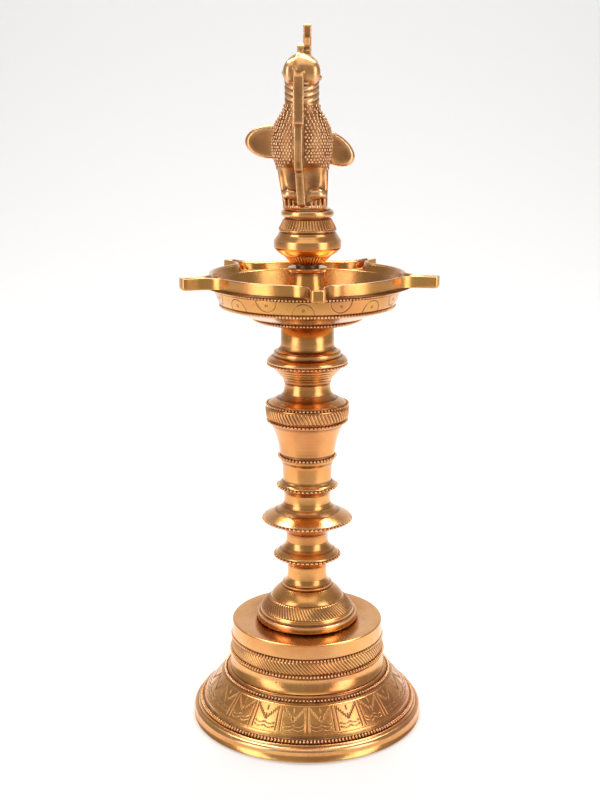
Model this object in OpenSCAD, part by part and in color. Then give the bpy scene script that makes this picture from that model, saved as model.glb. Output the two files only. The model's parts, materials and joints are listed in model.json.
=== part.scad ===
// Standing oil lamp of turned and cast brass: a drum base, a stem of screwed sections,
// a shallow five-spouted oil bowl and a bird finial. Millimetres, +Z up, the bird faces -Y.
// The origin is on the lamp's axis, on the surface that it stands on.

/* [Base] */
// Radius of the foot rim
base_r = 77.6; // [68:0.1:100]
// Height of the upright foot rim
rim_h = 8.9; // [6:0.1:16]
// Height of the engraved slope
slope_h = 14.5; // [10:0.1:24]
// Radius of the drum at its foot
drum_r = 52.2; // [44:0.1:64]
// How much narrower the drum is at its top
drum_taper = 1.6; // [0:0.1:4]
// Height of the plain band below the drum's rope band
drum_low_h = 10.3; // [6:0.1:20]
// Height of the drum's rope band
drum_rope_h = 8.6; // [5:0.1:14]
// Height of the plain band above the drum's rope band
drum_high_h = 8.7; // [6:0.1:20]
// Wall of the hollow base
base_wall = 3; // [2:0.1:5]
// Thickness of the drum's top plate
plate_t = 4; // [3:0.1:6]

/* [Stem] */
// Radius of the foot's flange
foot_r = 33.8; // [28:0.1:42]
// Radius of the waists between the mouldings
waist_r = 13.2; // [11:0.1:18]
// Height of the waist above the foot
waist_h = 9.2; // [5:0.1:24]
// Radius of the lower disc
disc_low_r = 21.7; // [19:0.1:28]
// Radius of the upper disc
disc_high_r = 29.5; // [26:0.1:38]
// Radius of the ring above the discs
ring_r = 19.4; // [18:0.1:24]
// Radius of the plain tube below the vase
tube_r = 16.8; // [15:0.1:20]
// Height of the plain tube below the vase
tube_h = 13.4; // [8:0.1:30]

/* [Vase and knop] */
// Largest radius of the vase
vase_r = 27.8; // [24:0.1:34]
// Height of the vase's flaring cup
cup_h = 20.1; // [12:0.1:36]
// Height of the vase's rope band
vase_rope_h = 7.3; // [5:0.1:12]
// Radius of the vase's neck
neck_r = 14.8; // [12:0.1:18]
// Largest radius of the knop
knop_r = 26.5; // [24:0.1:32]
// Radius of the sleeve under the bowl
sleeve_r = 17.4; // [15:0.1:20]
// Height of the sleeve under the bowl
sleeve_h = 15.8; // [12.5:0.1:30]

/* [Bowl] */
// Radius of the saucer under the bowl
saucer_r = 34.4; // [30:0.1:42]
// Radius of the bowl's rim
bowl_r = 63; // [56:0.1:80]
// Height of the bowl below its rim band
dish_h = 21; // [17:0.1:30]
// Height of the rim band and the spouts
band_h = 7.5; // [6:0.1:12]
// Wall of the rim band and the spouts
rim_wall = 2; // [1.5:0.1:3]
// Thickness of the bowl's floor
floor_t = 5; // [3:0.1:7]
// Number of spouts
spout_count = 5; // [3:1:7]
// Distance from the axis to a spout's tip
spout_reach = 85; // [76:0.1:110]
// Width of a spout
spout_w = 9; // [8:0.1:14]
// Radius of the curve between a spout and the rim
spout_fillet = 14; // [3:0.1:18]
// Turn of the first spout away from the front
spout_turn = 4; // [0:0.5:72]
// Radius of the centre cone at the bowl's floor
cone_r = 17; // [14:0.1:22]
// Height of the centre cone below its cup
cone_h = 23.8; // [18:0.1:34]
// Radius of the cup on the centre cone
cup_r = 12.6; // [11:0.1:16]

/* [Finial] */
// Radius of the pedestal
pedestal_r = 21.6; // [19:0.1:28]
// Radius of the disc under the bird
perch_r = 16.8; // [14:0.1:20]
// Height of the bird with its plinth
bird_h = 113; // [90:0.5:140]

/* [Threads and fits] */
// Radius of the threads between the sections
thread_r = 5; // [4:0.1:7]
// Pitch of the threads
pitch = 1.5; // [1:0.25:2]
// Turns of thread in each joint that unscrews
turns = 7; // [5:1:8]
// Running clearance of a thread that turns
thread_fit = 0.05; // [0.02:0.01:0.1]
// Clearance round a stud that only passes through
pass_fit = 0.3; // [0.1:0.1:0.6]
// Radius of the washer in the base
washer_r = 16; // [13:0.5:24]
// Thickness of the washer in the base
washer_t = 2; // [1:0.1:3]
// Height of the nut in the base
nut_h = 8; // [6:0.5:12]

/* [Hidden] */

curve_steps = 8;      // straight pieces that stand for one curved moulding
round_fn = 96;        // smoothness of previews
bead_swell = 0.6;     // how far a row of beads stands out of its seat
rope_swell = 0.4;     // how far a rope band stands out
drum_top_r = drum_r - drum_taper;
engage_h = pitch * turns;                  // length of thread that unscrews
blind_gap = 1.5;                           // space past the end of a stud in a blind hole
stud_hole_r = thread_r + thread_fit;
pass_hole_r = thread_r + pass_fit;
stud_point = 1;                            // chamfer on a stud's ends

// ---- Turned outlines ------------------------------------------------------------------
// A moulding is [height, lower radius, upper radius, swell]. Swell is how far its middle
// stands out of the straight line between its two radii, and is negative on a hollow.

skirt_mouldings = [
    [rim_h - 2.1, base_r, base_r, 0],                       // upright rim
    [2.1, base_r, base_r - 1.9, 0.35],                      // its rounded edge
    [1.5, base_r - 2.6, base_r - 3.4, 0],                   // chamfer
    [2.6, base_r - 5.3, base_r - 6, 1],                     // large beads
    [2.4, base_r - 6.6, base_r - 7.7, 0],                   // fillet
    [slope_h, base_r - 7.7, drum_r + 6, 0],                 // engraved slope
    [0.8, drum_r + 5, drum_r + 4.8, 0],                     // groove
    [1.8, drum_r + 3.7, drum_r + 3.2, 0.9],                 // small beads
    [1.7, drum_r + 2.4, drum_r + 1.4, 0.2]];                // seat ring

drum_mouldings = [
    [drum_low_h, drum_r, drum_r - 0.3 * drum_taper, 0],
    [0.6, drum_r - 1.1, drum_r - 1.1, 0],
    [2.3, drum_r - 1.1, drum_r - 1.1, bead_swell],
    [drum_rope_h, drum_r - 1.1, drum_r - 1.2, rope_swell],
    [2, drum_r - 1.2, drum_r - 1.3, bead_swell],
    [0.6, drum_r - 2, drum_r - 2, 0],
    [drum_high_h, drum_r - 0.7 * drum_taper, drum_top_r, 0],
    [0.8, drum_top_r, drum_top_r - 0.6, 0.15]];

foot_mouldings = [
    [5.1, foot_r, foot_r - 0.3, 0.2],                       // flange
    [0.9, foot_r - 2.2, foot_r - 2.4, 0],                   // groove
    [2.1, foot_r - 2, foot_r - 2.6, 0.1],                   // fillet
    [7.2, foot_r - 2.8, foot_r - 8.8, 0.8],                 // rope band
    [0.6, foot_r - 9.5, foot_r - 9.7, 0],                   // groove
    [7.4, foot_r - 9.2, waist_r + 4.1, 0.9],                // dome
    [0.4, waist_r + 3, waist_r + 3, 0],                     // groove
    [1.8, waist_r + 3.3, waist_r + 3.3, 0.3]];              // ring that seats the baluster

baluster_mouldings = [
    [3.8, waist_r + 2.4, waist_r + 0.3, -0.35],             // cove above the foot
    [waist_h, waist_r + 0.2, waist_r + 0.3, -0.25],         // waist
    [1.4, waist_r + 0.4, waist_r + 1.5, -0.1],              // underside of the lower disc
    [4.2, waist_r + 1.7, disc_low_r - 1.3, 0],
    [1.9, disc_low_r - 0.6, disc_low_r - 0.5, bead_swell],  // beads
    [0.5, disc_low_r - 0.5, disc_low_r - 0.5, 0],
    [2.4, disc_low_r - 0.5, disc_low_r - 3.3, 0.2],         // top of the lower disc
    [2, disc_low_r - 3.7, waist_r + 2.9, -0.1],
    [4, waist_r + 2.7, waist_r + 0.9, -0.3],
    [5.2, waist_r + 0.8, waist_r + 0.9, -0.05],             // waist between the discs
    [2, waist_r + 1, waist_r + 1.9, -0.1],                  // underside of the upper disc
    [5.9, waist_r + 2.2, disc_high_r - 5.1, -0.2],
    [1.4, disc_high_r - 4.5, disc_high_r - 2.3, 0],
    [0.4, disc_high_r - 2.6, disc_high_r - 2.6, 0],
    [1.7, disc_high_r - 0.9, disc_high_r - 0.8, bead_swell],  // beads
    [1, disc_high_r - 0.2, disc_high_r - 0.6, 0.1],
    [3.5, disc_high_r - 1, disc_high_r - 7.9, 0.2],         // top of the upper disc
    [3.2, disc_high_r - 8.3, waist_r + 4.3, -0.3],
    [2.8, waist_r + 4, waist_r + 2.6, -0.2],
    [7, waist_r + 2.4, waist_r + 2.4, -0.3],                // waist under the ring
    [1.8, waist_r + 2.6, waist_r + 3.4, 0],
    [1.8, ring_r - 2.4, ring_r - 0.6, 0],
    [1.7, ring_r - 0.5, ring_r - 0.5, bead_swell],          // beads
    [1, ring_r - 0.1, ring_r - 0.7, 0.1],
    [1.7, ring_r - 1.1, tube_r - 0.2, 0],
    [tube_h, tube_r - 0.6, tube_r, -0.2]];                  // plain tube

vase_mouldings = [
    [2.3, tube_r + 0.8, tube_r + 1.1, 0.1],
    [2.2, tube_r + 1.2, tube_r + 1.2, bead_swell],          // beads
    [1.4, tube_r + 1, tube_r + 1, 0],
    [cup_h, tube_r + 1.6, vase_r - 3.7, -1],                // flaring cup
    [1, vase_r - 2.9, vase_r - 2.9, 0],
    [1.7, vase_r - 2.6, vase_r - 2.5, bead_swell],          // beads
    [1.1, vase_r - 2, vase_r - 1.4, 0],
    [vase_rope_h, vase_r - 0.9, vase_r - 0.3, rope_swell],  // rope band
    [0.9, vase_r - 0.8, vase_r - 1, 0],
    [1.6, vase_r - 1.9, vase_r - 1.9, bead_swell],          // beads
    [0.8, vase_r - 2.4, vase_r - 2.8, 0],
    [2.2, vase_r - 3.4, vase_r - 7.3, 0.2],                 // shoulder
    [3.4, vase_r - 7.8, neck_r + 1.4, -0.5],
    [6.8, neck_r + 1.2, neck_r + 0.1, -0.3]];               // neck

knop_mouldings = [
    [2.6, neck_r + 0.7, neck_r + 0.9, 0],
    [2.2, neck_r + 1.2, neck_r + 2.3, 0.1],                 // steps out to the edge
    [1.9, knop_r - 8.6, knop_r - 7.5, 0.1],
    [1.9, knop_r - 6.9, knop_r - 5.8, 0.1],
    [1.9, knop_r - 5.2, knop_r - 4.1, 0.1],
    [1.5, knop_r - 3.6, knop_r - 2.3, 0],
    [1.7, knop_r - 1.8, knop_r - 1.3, bead_swell],          // beads
    [1.2, knop_r - 0.5, knop_r - 0.1, 0.1],                 // edge of the knop
    [2.6, knop_r - 0.2, knop_r - 2.3, 0.3],
    [0.6, knop_r - 2.8, knop_r - 3.6, 0],
    [3, knop_r - 4.5, knop_r - 4.6, 0.1]];                  // collar

sleeve_mouldings = [
    [1.7, sleeve_r + 3.6, sleeve_r + 1, -0.2],
    [2.2, sleeve_r + 0.7, sleeve_r + 0.1, 0],
    [sleeve_h, sleeve_r, sleeve_r - 0.4, 0]];

saucer_mouldings = [
    [0.8, saucer_r - 1.6, saucer_r - 0.6, 0.1],
    [1.7, saucer_r - 0.4, saucer_r - 0.4, bead_swell],      // beads
    [0.5, saucer_r - 0.8, saucer_r - 1.2, 0]];

dish_seat_h = 7.2;     // height of the dish's curved underside
dish_bead_h = 2;
dish_cove_h = 0.8;
dish_side_h = dish_h - dish_seat_h - 2 * dish_bead_h - dish_cove_h;
dish_mouldings = [
    [dish_seat_h, saucer_r + 2, bowl_r - 9, 0.8],           // underside
    [dish_bead_h, bowl_r - 8.1, bowl_r - 7.9, bead_swell],  // lower beads
    [dish_side_h, bowl_r - 6.2, bowl_r - 2.8, 0.2],         // engraved side
    [dish_bead_h, bowl_r - 3.4, bowl_r - 3, bead_swell],    // upper beads
    [dish_cove_h, bowl_r - 2.4, bowl_r - 0.8, -0.2]];       // cove under the rim band

cup_floor = 0.8;       // height of the cup's floor above the cone
cone_mouldings = [
    [1.5, cone_r, cone_r - 0.4, 0],
    [cone_h - 1.5, cone_r - 1, cup_r - 1.6, -0.6],
    [1.4, cup_r - 1.2, cup_r - 0.2, 0.2],                   // cup
    [1.6, cup_r, cup_r - 0.3, 0.3]];

pedestal_mouldings = [
    [6, pedestal_r - 11.6, pedestal_r - 6.1, 0.2],          // fluted underside
    [0.8, pedestal_r - 5.4, pedestal_r - 5, 0],
    [3, pedestal_r - 4.4, pedestal_r - 1, 0.3],
    [1.2, pedestal_r - 0.7, pedestal_r - 0.2, 0],
    [4.7, pedestal_r - 0.1, pedestal_r - 0.2, 0.1],         // edge
    [3, pedestal_r - 0.4, pedestal_r - 2.4, -0.1],          // dome
    [1.8, pedestal_r - 2.6, pedestal_r - 3.2, 0],
    [0.9, pedestal_r - 4.2, pedestal_r - 4.2, 0],           // groove
    [2.4, pedestal_r - 3.2, pedestal_r - 3.1, 0.1],
    [5.6, pedestal_r - 3.4, pedestal_r - 6.7, 0.1],         // fluted skirt
    [0.9, perch_r - 2.5, perch_r - 2.5, 0],
    [4.2, perch_r - 0.7, perch_r - 0.7, 0.7],               // disc under the bird
    [1, perch_r - 2.2, perch_r - 2.2, 0]];

// ---- Heights, each piece standing on the one below --------------------------------------
function total(m, i = 0) = i == len(m) ? 0 : m[i][0] + total(m, i + 1);

drum_z = total(skirt_mouldings);
foot_z = drum_z + total(drum_mouldings);
baluster_z = foot_z + total(foot_mouldings);
vase_z = baluster_z + total(baluster_mouldings);
knop_z = vase_z + total(vase_mouldings);
sleeve_z = knop_z + total(knop_mouldings);
saucer_z = sleeve_z + total(sleeve_mouldings);
bowl_z = saucer_z + total(saucer_mouldings);
band_z = bowl_z + dish_h;
bowl_floor_z = bowl_z + floor_t;
cup_z = bowl_floor_z + cone_h + cup_floor;
cup_top_z = bowl_floor_z + total(cone_mouldings);
cup_wall = 1.8;
stub_h = 1.7;                              // dark shoulder that shows above the cup
pedestal_z = cup_top_z + stub_h;
bird_z = pedestal_z + total(pedestal_mouldings);

// Studs: where each starts and ends
plate_z = foot_z - plate_t;
washer_z = plate_z - washer_t;
nut_z = washer_z - nut_h;
stem_stud_lo = baluster_z - engage_h;
stem_stud_hi = baluster_z + engage_h;
base_stud_lo = nut_z - 3;                  // a little thread shows below the nut
base_stud_hi = stem_stud_lo - 2 * blind_gap;
vase_stud_lo = vase_z - engage_h;
vase_stud_hi = vase_z + engage_h;
neck_stud_lo = knop_z - engage_h;
bowl_stud_lo = saucer_z - engage_h;
bowl_stud_hi = bowl_floor_z + 9;
neck_stud_hi = bowl_stud_lo - 2 * blind_gap;
finial_stud_lo = cup_z - engage_h;
finial_stud_hi = pedestal_z + 16;
stub_r = thread_r + 2.4;

// ---- Tools -----------------------------------------------------------------------------
function height_below(m, i) = i == 0 ? 0 : m[i - 1][0] + height_below(m, i - 1);

// Points up one moulding that starts at height z
function moulding_points(m, z) =
    let (steps = m[3] == 0 ? 1 : curve_steps)
    [for (i = [0 : steps])
        let (t = i / steps)
        [m[1] + (m[2] - m[1]) * t + 4 * m[3] * t * (1 - t), z + m[0] * t]];

function outline(m) = [for (i = [0 : len(m) - 1]) each moulding_points(m[i], height_below(m, i))];

// The same points without those that repeat the one before
function distinct(p) = [for (i = [0 : len(p) - 1]) if (i == 0 || norm(p[i] - p[i - 1]) > 0.001) p[i]];

module turned(m, z) {
    translate([0, 0, z])
        rotate_extrude($fn = round_fn)
            polygon(distinct(concat([[0, 0]], outline(m), [[0, total(m)]])));
}

module hole(r, lo, hi) {
    translate([0, 0, lo])
        cylinder(r = r, h = hi - lo, $fn = round_fn);
}

// A stud with a chamfer at each end
module stud(lo, hi) {
    translate([0, 0, lo])
        rotate_extrude($fn = round_fn)
            polygon([[0, 0], [thread_r - stud_point, 0], [thread_r, stud_point],
                [thread_r, hi - lo - stud_point], [thread_r - stud_point, hi - lo], [0, hi - lo]]);
}

// ---- Base ------------------------------------------------------------------------------
module base_skirt() {
    color("goldenrod")
    difference() {
        turned(skirt_mouldings, 0);
        rotate_extrude($fn = round_fn)
            polygon([[0, -1], [base_r - base_wall, -1], [base_r - base_wall, rim_h - 1],
                [base_r - 6 - base_wall, rim_h + 3], [drum_r + 5 - 1.3 * base_wall, drum_z - 5],
                [drum_r - base_wall, drum_z - 3], [drum_r - base_wall, drum_z + 1], [0, drum_z + 1]]);
    }
}

module base_drum() {
    color("peru")
    difference() {
        turned(drum_mouldings, drum_z);
        hole(drum_top_r - base_wall, drum_z - 1, plate_z);
        hole(pass_hole_r, plate_z - 1, foot_z + 1);
    }
}

module base_stud() {
    color("darkgoldenrod")
    stud(base_stud_lo, base_stud_hi);
}

module base_washer() {
    color("khaki")
    difference() {
        hole(washer_r, washer_z, plate_z);
        hole(pass_hole_r, washer_z - 1, plate_z + 1);
    }
}

module base_nut() {
    nut_r = 2 * thread_r;                  // across the hexagon's corners
    color("darkkhaki")
    difference() {
        translate([0, 0, nut_z])
            cylinder(r = nut_r, h = nut_h, $fn = 6);
        hole(stud_hole_r, nut_z - 1, washer_z + 1);
    }
}

// ---- Stem ------------------------------------------------------------------------------
module stem_foot() {
    color("sandybrown")
    difference() {
        turned(foot_mouldings, foot_z);
        hole(stud_hole_r, foot_z - 1, base_stud_hi + blind_gap / 2);
        hole(stud_hole_r, stem_stud_lo - blind_gap / 2, baluster_z + 1);
    }
}

module stem_stud() {
    color("darkgoldenrod")
    stud(stem_stud_lo, stem_stud_hi);
}

module stem_baluster() {
    color("goldenrod")
    difference() {
        turned(baluster_mouldings, baluster_z);
        hole(stud_hole_r, baluster_z - 1, stem_stud_hi + blind_gap);
        hole(stud_hole_r, vase_stud_lo - blind_gap, vase_z + 1);
    }
}

module vase_stud() {
    color("darkgoldenrod")
    stud(vase_stud_lo, vase_stud_hi);
}

module stem_vase() {
    color("peru")
    difference() {
        turned(vase_mouldings, vase_z);
        hole(stud_hole_r, vase_z - 1, vase_stud_hi + blind_gap);
        hole(stud_hole_r, neck_stud_lo - blind_gap, knop_z + 1);
    }
}

module neck_stud() {
    color("darkgoldenrod")
    stud(neck_stud_lo, neck_stud_hi);
}

module stem_knop() {
    color("sandybrown")
    difference() {
        turned(knop_mouldings, knop_z);
        hole(pass_hole_r, knop_z - 1, sleeve_z + 1);
    }
}

module socket_tube() {
    color("gold")
    difference() {
        turned(sleeve_mouldings, sleeve_z);
        hole(stud_hole_r, sleeve_z - 1, neck_stud_hi + blind_gap / 2);
        hole(stud_hole_r, bowl_stud_lo - blind_gap / 2, saucer_z + 1);
    }
}

// ---- Bowl ------------------------------------------------------------------------------
module bowl_stud() {
    color("darkgoldenrod")
    stud(bowl_stud_lo, bowl_stud_hi);
}

module drip_saucer() {
    color("peru")
    difference() {
        turned(saucer_mouldings, saucer_z);
        hole(pass_hole_r, saucer_z - 1, bowl_z + 1);
    }
}

function arc(at, r, from, to, steps) =
    [for (i = [0 : steps]) at + r * [cos(from + (to - from) * i / steps), sin(from + (to - from) * i / steps)]];

function turned_about(p, angle) =
    [for (q = p) [q[0] * cos(angle) - q[1] * sin(angle), q[0] * sin(angle) + q[1] * cos(angle)]];

// Centre of the curve between a spout and the rim: along the spout and across it
fillet_across = spout_w / 2 + spout_fillet;
fillet_along = sqrt(pow(bowl_r + spout_fillet, 2) - pow(fillet_across, 2));
fillet_angle = atan2(fillet_across, fillet_along);
tip_round = 2.4;                          // radius of the corners at a spout's tip
rim_step = 3;                             // angle of the first and last step of the rim's arcs

// Half of a spout's edge, from the rim out to its tip, inside the real edge by inset
function half_spout(inset) =
    let (half_w = spout_w / 2 - inset, tip = spout_reach - inset, corner = max(tip_round - inset, 0.3))
    concat(
        arc([fillet_along, -fillet_across], spout_fillet + inset, 180 - fillet_angle, 90, 8),
        arc([tip - corner, corner - half_w], corner, -90, 0, 3));

function mirrored(p) = [for (i = [len(p) - 1 : -1 : 0]) [p[i][0], -p[i][1]]];

// The rim's edge with every spout, as one closed line
function rim_points(inset) =
    let (pitch_angle = 360 / spout_count, half = half_spout(inset))
    [for (i = [0 : spout_count - 1])
        each turned_about(
            concat(half, mirrored(half),
                arc([0, 0], bowl_r - inset, fillet_angle + rim_step, pitch_angle - fillet_angle - rim_step, 14)),
            spout_turn - 90 + i * pitch_angle)];

module oil_bowl() {
    well_h = 4.5;                          // height of the curve round the bowl's floor
    channel_z = band_z + rim_wall;         // floor of the spouts' wick channels
    well_mouldings = [
        [well_h, bowl_r - 24, bowl_r - 9.4, 1.2],
        [channel_z - bowl_floor_z - well_h, bowl_r - 9.4, bowl_r - rim_wall - 1.2, 0.4],
        [1, bowl_r - rim_wall - 1.2, bowl_r - rim_wall - 1.2, 0]];
    color("goldenrod")
    difference() {
        union() {
            turned(dish_mouldings, bowl_z);
            translate([0, 0, band_z])
                linear_extrude(band_h)
                    polygon(rim_points(0));
        }
        turned(well_mouldings, bowl_floor_z);
        translate([0, 0, channel_z])
            linear_extrude(band_h)
                polygon(rim_points(rim_wall));
        hole(pass_hole_r, bowl_z - 1, bowl_floor_z + 1);
    }
}

module bowl_cone() {
    color("sandybrown")
    difference() {
        turned(cone_mouldings, bowl_floor_z);
        hole(stud_hole_r, bowl_floor_z - 1, bowl_stud_hi + blind_gap / 2);
        hole(stud_hole_r, finial_stud_lo - blind_gap / 2, cup_z + 1);
        hole(cup_r - cup_wall, cup_z, cup_top_z + 1);
    }
}

// ---- Finial ----------------------------------------------------------------------------
module finial_stud() {
    color("dimgray")
    union() {
        stud(finial_stud_lo, finial_stud_hi);
        hole(stub_r, cup_z, pedestal_z);
    }
}

module finial_pedestal() {
    color("peru")
    difference() {
        turned(pedestal_mouldings, pedestal_z);
        hole(stud_hole_r, pedestal_z - 1, finial_stud_hi + blind_gap);
    }
}

// ---- Bird, drawn 113 high and scaled to bird_h; x is its width and -y its front -----------
drawn_bird_h = 113;
bird_fn = 24;
plinth_lean = -1.6;    // how far the casting stands off the axis at its plinth
body_lean = -3.6;      // and from its body up

module blob(at, size) {
    translate(at)
        scale(size)
            sphere(r = 1, $fn = bird_fn);
}

module plinth() {
    corner = 7;
    hull()
        for (x = [-1, 1], y = [-1, 1])
            translate([x * (14.3 - corner), y * (14.3 - corner), 0])
                cylinder(r = corner, h = 4, $fn = bird_fn);
}

module bird_body() {
    hull() {
        blob([0, -4, 40], [18.7, 16, 18]);
        blob([0, 14, 40], [14, 14, 13]);
    }
    hull() {
        blob([0, -3, 38], [18.2, 13, 14]);
        translate([plinth_lean - body_lean, -2, 3])
            scale([13.6, 11.5, 1])
                cylinder(r = 1, h = 2, $fn = bird_fn);
    }
}

module bird_neck() {
    hull() {
        blob([0, -3, 52], [16, 13.5, 5]);
        blob([0, -4, 62], [10.8, 10.8, 3]);
    }
    translate([0, -4, 58])
        cylinder(r = 10.8, h = 24, $fn = bird_fn);
}

module bird_head() {
    blob([0, -4, 84.5], [12, 13.5, 11]);
    for (side = [-1, 1])
        blob([side * 6, -11, 83], [6, 7, 7.5]);
    hull() {
        blob([0, -17, 84], [4.4, 4, 5]);
        blob([0, -23, 59], [3.3, 2.2, 3]);
    }
}

// The strip that hangs from the beak to the plinth
module beak_strip() {
    strip_w = 5.8;
    path = [[-22, 60], [-21.4, 42], [-17.5, 22], [-14, 3]];
    strip_t = 3;
    translate([strip_w / 2, 0, 0])
        rotate([90, 0, -90])
            linear_extrude(strip_w)
                polygon(concat([for (p = path) [-p[0], p[1]]],
                    [for (i = [len(path) - 1 : -1 : 0]) [-path[i][0] - strip_t, path[i][1]]]));
}

// A lobe of the crest: a thin upright leaf between two discs
module crest_lobe(low, high, low_r, high_r, thick) {
    hull() {
        translate([1 + thick / 2, low[0], low[1]])
            rotate([0, -90, 0])
                cylinder(r = low_r, h = thick, $fn = bird_fn);
        translate([1 + thick / 2, high[0], high[1]])
            rotate([0, -90, 0])
                cylinder(r = high_r, h = thick, $fn = bird_fn);
    }
}

// A short spread wing: two roots on the body and a broad tip
module wing(side, root_low, root_high, tip, tip_r) {
    hull() {
        blob([side * 13, 6, root_low], [2, 2.5, 2]);
        blob([side * 13, 9, root_high], [2, 2.5, 2]);
        blob([side * tip[0], tip[1], tip[2]], [tip_r, 2.4, tip_r]);
    }
}

module bird_tail() {
    hull() {
        blob([0, 20, 40], [10, 8, 9]);
        blob([0, 34, 52], [6, 4, 5]);
    }
}

module hamsa_bird() {
    color("goldenrod")
    translate([0, 0, bird_z])
        scale(bird_h / drawn_bird_h)
            union() {
                translate([plinth_lean, 0, 0])
                    plinth();
                translate([body_lean, 0, 0]) {
                    bird_body();
                    bird_neck();
                    bird_head();
                    beak_strip();
                    crest_lobe([-5, 93], [-4, 101], 4.5, 2.4, 4.4);
                    crest_lobe([3, 92], [5, 110], 5.5, 3, 4.8);
                    wing(-1, 29, 50, [27.5, 12, 39], 8.5);
                    wing(1, 27, 49, [26, 12, 34], 7);
                    bird_tail();
                }
            }
}

base_skirt();
base_drum();
base_stud();
base_washer();
base_nut();
stem_foot();
stem_stud();
stem_baluster();
vase_stud();
stem_vase();
neck_stud();
stem_knop();
socket_tube();
bowl_stud();
drip_saucer();
oil_bowl();
bowl_cone();
finial_stud();
finial_pedestal();
hamsa_bird();
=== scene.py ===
"""Looks of the brass standing oil lamp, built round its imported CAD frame.

Every turned piece takes its outline from its CAD node. Beads, rope bands, engraving, flutes
and feathers are real geometry. Lengths are in millimetres until a piece is made, in metres.
Angles round the lamp run from the front (-Y) towards +X.
"""
import json
import math

import bpy
import numpy as np
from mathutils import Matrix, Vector
from mathutils.bvhtree import BVHTree

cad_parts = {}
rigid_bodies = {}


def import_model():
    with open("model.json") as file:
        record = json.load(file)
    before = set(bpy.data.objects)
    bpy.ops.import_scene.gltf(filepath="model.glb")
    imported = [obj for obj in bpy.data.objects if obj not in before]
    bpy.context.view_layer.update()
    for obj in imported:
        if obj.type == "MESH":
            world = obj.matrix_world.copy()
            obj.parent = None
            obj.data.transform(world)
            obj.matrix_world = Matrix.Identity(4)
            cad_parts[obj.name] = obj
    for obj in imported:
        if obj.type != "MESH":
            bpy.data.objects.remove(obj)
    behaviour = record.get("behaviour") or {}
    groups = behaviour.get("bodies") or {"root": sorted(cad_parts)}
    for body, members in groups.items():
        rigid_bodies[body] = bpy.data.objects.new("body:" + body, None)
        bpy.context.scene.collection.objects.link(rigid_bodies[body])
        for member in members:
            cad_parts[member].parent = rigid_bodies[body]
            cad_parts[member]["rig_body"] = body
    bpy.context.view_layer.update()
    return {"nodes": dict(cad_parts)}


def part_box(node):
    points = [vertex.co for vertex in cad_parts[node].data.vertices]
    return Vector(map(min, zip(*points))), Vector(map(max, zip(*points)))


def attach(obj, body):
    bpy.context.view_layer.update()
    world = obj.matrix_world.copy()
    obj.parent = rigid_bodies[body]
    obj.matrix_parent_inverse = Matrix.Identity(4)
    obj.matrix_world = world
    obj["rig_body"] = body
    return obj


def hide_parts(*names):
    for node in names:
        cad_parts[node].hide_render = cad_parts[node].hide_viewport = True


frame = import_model()

MM = 1000.0
FULL = 2 * math.pi
NODES = frame["nodes"]


# ---- Outlines of the CAD nodes ----

def cad_points(node):
    mesh = NODES[node].data
    flat = np.empty(len(mesh.vertices) * 3)
    mesh.vertices.foreach_get("co", flat)
    return flat.reshape(-1, 3) * MM


def node_floor(node):
    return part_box(node)[0].z * MM


def cad_outline(node, pick):
    """Heights up a turned node and its radius at each.

    pick is np.max for its outside and np.min for its bore.
    """
    points = cad_points(node)
    mesh = NODES[node].data
    ends = np.empty(len(mesh.edges) * 2, dtype=np.int64)
    mesh.edges.foreach_get("vertices", ends)
    a, b = points[ends.reshape(-1, 2)].transpose(1, 0, 2)
    flip = a[:, 2] > b[:, 2]
    a[flip], b[flip] = b[flip], a[flip].copy()
    hair = 0.004                  # the node is cut this far above and below each of its corners
    levels = np.unique(np.round(points[:, 2], 2))
    heights = np.sort(np.concatenate([levels[:-1] + hair, levels[1:] - hair]))
    kept_z, kept_r = [], []
    for z in heights:
        crossing = (a[:, 2] <= z) & (b[:, 2] > z)
        if not crossing.any():
            continue
        low, high = a[crossing], b[crossing]
        share = ((z - low[:, 2]) / (high[:, 2] - low[:, 2]))[:, None]
        spot = low + (high - low) * share
        kept_z.append(z)
        kept_r.append(pick(np.hypot(spot[:, 0], spot[:, 1])))
    return np.array(kept_z), np.array(kept_r)


def blurred(values, width, step):
    """values, evenly spaced by step, smoothed by a bell curve of that width."""
    reach = max(1, int(3 * width / step))
    bell = np.exp(-0.5 * (np.arange(-reach, reach + 1) * step / width) ** 2)
    padded = np.pad(values, reach, mode="edge")
    return np.convolve(padded, bell / bell.sum(), mode="valid")


def thinned(z, r, tolerance):
    """Which points of an outline to keep so that it stays within tolerance."""
    keep = np.zeros(len(z), bool)
    keep[[0, -1]] = True
    spans = [(0, len(z) - 1)]
    while spans:
        i, j = spans.pop()
        if j - i < 2:
            continue
        run = np.array([z[j] - z[i], r[j] - r[i]])
        length = math.hypot(*run) + 1e-9
        off = np.abs(run[0] * (r[i + 1:j] - r[i]) - run[1] * (z[i + 1:j] - z[i])) / length
        far = int(off.argmax())
        if off[far] > tolerance:
            keep[i + 1 + far] = True
            spans += [(i, i + 1 + far), (i + 1 + far, j)]
    return keep


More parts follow.
